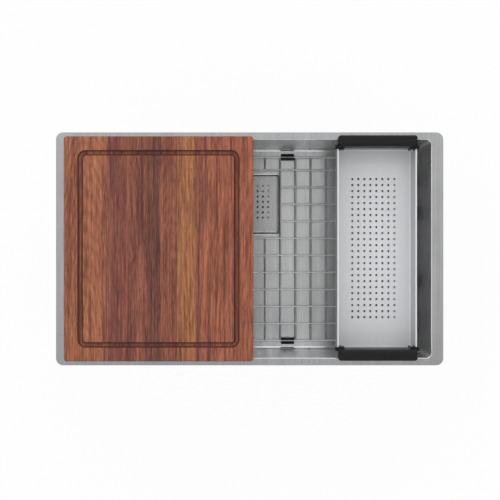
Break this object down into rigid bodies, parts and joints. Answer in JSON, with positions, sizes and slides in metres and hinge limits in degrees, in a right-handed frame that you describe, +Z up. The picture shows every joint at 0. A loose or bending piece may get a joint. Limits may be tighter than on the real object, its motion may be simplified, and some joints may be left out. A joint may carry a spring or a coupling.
{
  "type": "workstation kitchen sink",
  "caption": "Rectangular single-bowl steel sink with a flange, rear drain, bottom grid, drain cover, hanging perforated colander and sliding cutting board.",
  "frame": {"origin": "middle of the bowl's opening, in the plane of the flange's underside", "axes": "+X to the right along the bowl's long side, +Y to the rear where the drain is, +Z up"},
  "size_m": [0.813, 0.489, 0.462],
  "materials": {
    "brushed_steel": "stainless sheet, satin brushed",
    "polished_steel": "stainless sheet, fine satin",
    "wire_steel": "stainless wire, electropolished",
    "pipe_steel": "chromed tube",
    "cast_nut": "zinc casting, plated",
    "pad_rubber": "moulded sound-deadening rubber",
    "black_rubber": "moulded black rubber",
    "fibre": "pressed fibre ring",
    "white_plastic": "white polyethylene",
    "black_plastic": "moulded black nylon, fine texture",
    "hardwood": "edge-glued reddish hardwood, oiled"
  },
  "bodies": {
    "sink": {"bowl": "brushed_steel", "pad_bottom_left": "pad_rubber", "pad_bottom_right": "pad_rubber", "pad_front": "pad_rubber", "pad_rear": "pad_rubber", "pad_left": "pad_rubber", "pad_right": "pad_rubber", "strainer_body": "polished_steel", "sealing_ring": "black_rubber", "rubber_washer": "black_rubber", "friction_ring": "fibre", "lock_nut": "cast_nut", "tailpiece_washer": "white_plastic", "coupling_nut": "cast_nut", "tailpiece": "pipe_steel"},
    "strainer_basket": {"basket_cup": "polished_steel", "basket_post": "polished_steel", "basket_stopper": "black_rubber"},
    "drain_cover": {"cover_plate": "polished_steel", "cover_feet": "black_rubber"},
    "bottom_grid": {"grid_frame": "wire_steel", "grid_long_wires": "wire_steel", "grid_cross_wires": "wire_steel", "grid_legs": "wire_steel", "grid_feet": "black_rubber", "bumpers_front": "black_rubber", "bumpers_rear": "black_rubber", "bumpers_sides": "black_rubber"},
    "colander": {"colander_tray": "brushed_steel", "colander_handle_rear": "black_plastic", "colander_handle_front": "black_plastic", "colander_screws": "wire_steel"},
    "cutting_board": {"cutting_board": "hardwood"}
  },
  "joints": [
    {"name": "basket_lift", "type": "slide", "parent": "sink", "child": "strainer_basket", "axis": [0, 0, 1], "range_m": [0, 0.006]},
    {"name": "cover_lift", "type": "slide", "parent": "sink", "child": "drain_cover", "axis": [0, 0, 1], "range_m": [0, 0.2]},
    {"name": "grid_lift", "type": "slide", "parent": "sink", "child": "bottom_grid", "axis": [0, 0, 1], "range_m": [0, 0.14]},
    {"name": "colander_lift", "type": "slide", "parent": "sink", "child": "colander", "axis": [0, 0, 1], "range_m": [0, 0.15]},
    {"name": "board_slide", "type": "slide", "parent": "sink", "child": "cutting_board", "axis": [1, 0, 0], "range_m": [0, 0.1715]}
  ]
}
